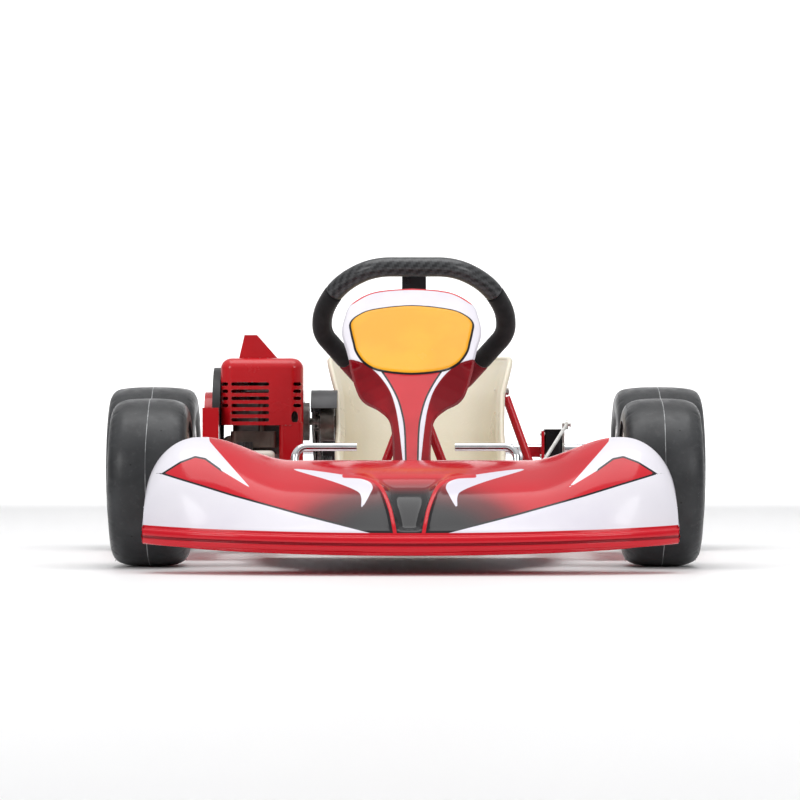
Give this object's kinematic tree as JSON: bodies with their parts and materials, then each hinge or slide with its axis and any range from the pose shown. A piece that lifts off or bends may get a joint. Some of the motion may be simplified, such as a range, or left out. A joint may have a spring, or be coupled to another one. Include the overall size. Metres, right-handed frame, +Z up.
{
  "type": "kart chassis",
  "caption": "Small racing kart chassis with tube frame, nose and front panel, bucket seat, steering, slick tyres, brake and fan-cooled engine.",
  "frame": {"origin": "on the ground, at the middle of the kart's length and width", "axes": "+Y towards the rear along the length, +X to the driver's left, +Z up"},
  "size_m": [1.02, 1.32, 0.4779],
  "materials": {
    "frame_paint": "red enamel over steel tube",
    "alloy": "bare sheet aluminium",
    "chrome": "bright chrome plate",
    "body_gloss": "glossy moulded body with plain red, white and black panels",
    "seat_shell": "cream glass-fibre moulding",
    "steel": "machined steel",
    "zinc": "zinc-plated fasteners",
    "black_plastic": "black moulded plastic",
    "tyre_rubber": "slick racing rubber",
    "grip_suede": "grained grip, red lower parts",
    "rim_alloy": "satin spun alloy",
    "engine_red": "glossy red engine cover",
    "cast_alloy": "as-cast alloy",
    "hot_steel": "heat-tinted steel",
    "tank": "translucent white plastic",
    "nylon": "nylon bush"
  },
  "bodies": {
    "chassis": {"main_frame": "frame_paint", "floor_tray": "alloy", "bumper_bars": "frame_paint", "nose_fairing": "body_gloss", "front_panel": "body_gloss", "panel_bracket": "steel", "side_pods": "body_gloss", "rear_bumper": "chrome", "seat": "seat_shell", "seat_struts": "frame_paint", "column_bearings": "nylon", "axle_bearings": "steel", "engine_mount": "alloy", "crankcase": "cast_alloy", "cylinder": "cast_alloy", "fan_shroud": "engine_red", "top_cover": "engine_red", "fan_housing": "black_plastic", "starter_cover": "engine_red", "muffler": "hot_steel", "carburettor": "cast_alloy", "airbox": "black_plastic", "fuel_tank": "tank", "chain": "steel", "chain_guard": "black_plastic", "brake_caliper": "black_plastic", "brake_pads": "steel", "frame_bolts": "zinc"},
    "steering": {"steering_column": "steel", "steering_bolts": "zinc", "steering_hub": "alloy", "steering_wheel": "black_plastic", "steering_grip": "grip_suede"},
    "tie_rod_left": {"tie_rod_left": "zinc"},
    "tie_rod_right": {"tie_rod_right": "zinc"},
    "stub_left": {"stub_axle_left": "steel", "stub_bolts_left": "zinc"},
    "stub_right": {"stub_axle_right": "steel", "stub_bolts_right": "zinc"},
    "wheel_front_left": {"front_hub_left": "alloy", "front_rim_left": "rim_alloy", "front_tyre_left": "tyre_rubber"},
    "wheel_front_right": {"front_hub_right": "alloy", "front_rim_right": "rim_alloy", "front_tyre_right": "tyre_rubber"},
    "rear_axle": {"rear_axle": "steel", "axle_flanges": "alloy", "brake_disc": "steel", "axle_sprocket": "alloy", "rear_hubs": "alloy", "rear_rims": "rim_alloy", "rear_tyres": "tyre_rubber"},
    "engine_drive": {"engine_sprocket": "black_plastic"},
    "brake_pedal": {"brake_pedal": "chrome"},
    "throttle_pedal": {"throttle_pedal": "chrome"},
    "brake_rod": {"brake_rod": "zinc"},
    "caliper_lever": {"caliper_lever": "zinc"},
    "throttle_lever": {"throttle_lever": "zinc"},
    "starter_handle": {"starter_handle": "black_plastic"},
    "fuel_cap": {"fuel_cap": "black_plastic"}
  },
  "joints": [
    {"name": "steering_turn", "type": "hinge", "parent": "chassis", "child": "steering", "pos_m": [0.013, -0.30932, 0.0583], "axis": [0, 0.7193, 0.6947], "range_deg": [-36, 36]},
    {"name": "stub_left_turn", "type": "hinge", "parent": "chassis", "child": "stub_left", "pos_m": [0.262, -0.31, 0.127], "axis": [0, 0, 1], "range_deg": [-18, 18]},
    {"name": "stub_right_turn", "type": "hinge", "parent": "chassis", "child": "stub_right", "pos_m": [-0.262, -0.31, 0.127], "axis": [0, 0, 1], "range_deg": [-18, 18]},
    {"name": "tie_rod_left_turn", "type": "hinge", "parent": "steering", "child": "tie_rod_left", "pos_m": [0.027, -0.2283, 0.08093], "axis": [0, 0.7193, 0.6947], "range_deg": [-38.2, 38.2]},
    {"name": "tie_rod_right_turn", "type": "hinge", "parent": "steering", "child": "tie_rod_right", "pos_m": [-0.001, -0.2283, 0.08093], "axis": [0, 0.7193, 0.6947], "range_deg": [-38.2, 38.2]},
    {"name": "wheel_left_spin", "type": "hinge", "parent": "stub_left", "child": "wheel_front_left", "pos_m": [0.386, -0.31, 0.127], "axis": [1, 0, 0], "continuous": true},
    {"name": "wheel_right_spin", "type": "hinge", "parent": "stub_right", "child": "wheel_front_right", "pos_m": [-0.386, -0.31, 0.127], "axis": [1, 0, 0], "continuous": true},
    {"name": "rear_axle_spin", "type": "hinge", "parent": "chassis", "child": "rear_axle", "pos_m": [0, 0.47, 0.1395], "axis": [1, 0, 0], "continuous": true},
    {"name": "engine_drive_spin", "type": "hinge", "parent": "chassis", "child": "engine_drive", "pos_m": [-0.14, 0.3, 0.219], "axis": [1, 0, 0], "continuous": true},
    {"name": "brake_pedal_push", "type": "hinge", "parent": "chassis", "child": "brake_pedal", "pos_m": [0.166, -0.4, 0.076], "axis": [1, 0, 0], "range_deg": [0, 12], "stiffness_Nm_per_rad": 4, "springref_deg": -5.73},
    {"name": "brake_rod_pull", "type": "slide", "parent": "chassis", "child": "brake_rod", "axis": [0, -1, 0], "range_m": [0, 0.0085]},
    {"name": "caliper_lever_turn", "type": "hinge", "parent": "chassis", "child": "caliper_lever", "pos_m": [0.2683, 0.423, 0.174], "axis": [1, 0, 0], "range_deg": [0, 12.2]},
    {"name": "throttle_pedal_push", "type": "hinge", "parent": "chassis", "child": "throttle_pedal", "pos_m": [-0.166, -0.4, 0.076], "axis": [1, 0, 0], "range_deg": [0, 25], "stiffness_Nm_per_rad": 3, "springref_deg": -5.73},
    {"name": "throttle_lever_turn", "type": "hinge", "parent": "chassis", "child": "throttle_lever", "pos_m": [-0.2653, 0.393, 0.288], "axis": [1, 0, 0], "range_deg": [0, 51]},
    {"name": "starter_pull", "type": "slide", "parent": "chassis", "child": "starter_handle", "axis": [0, 1, 0], "range_m": [0, 0.4], "stiffness_N_per_m": 20, "springref_m": -0.05},
    {"name": "fuel_cap_turn", "type": "hinge", "parent": "chassis", "child": "fuel_cap", "pos_m": [-0.268, 0.212, 0.172], "axis": [0, 0, 1], "continuous": true}
  ],
  "couplings": [
    {"joint": "stub_left_turn", "follows": "steering_turn", "ratio": 0.466},
    {"joint": "stub_right_turn", "follows": "steering_turn", "ratio": 0.466},
    {"joint": "tie_rod_left_turn", "follows": "steering_turn", "ratio": -1.054},
    {"joint": "tie_rod_right_turn", "follows": "steering_turn", "ratio": -1.054},
    {"joint": "engine_drive_spin", "follows": "rear_axle_spin", "ratio": 4.9091},
    {"joint": "brake_rod_pull", "follows": "brake_pedal_push", "m_per_rad": 0.04},
    {"joint": "caliper_lever_turn", "follows": "brake_pedal_push", "ratio": 1},
    {"joint": "throttle_lever_turn", "follows": "throttle_pedal_push", "ratio": 2}
  ]
}
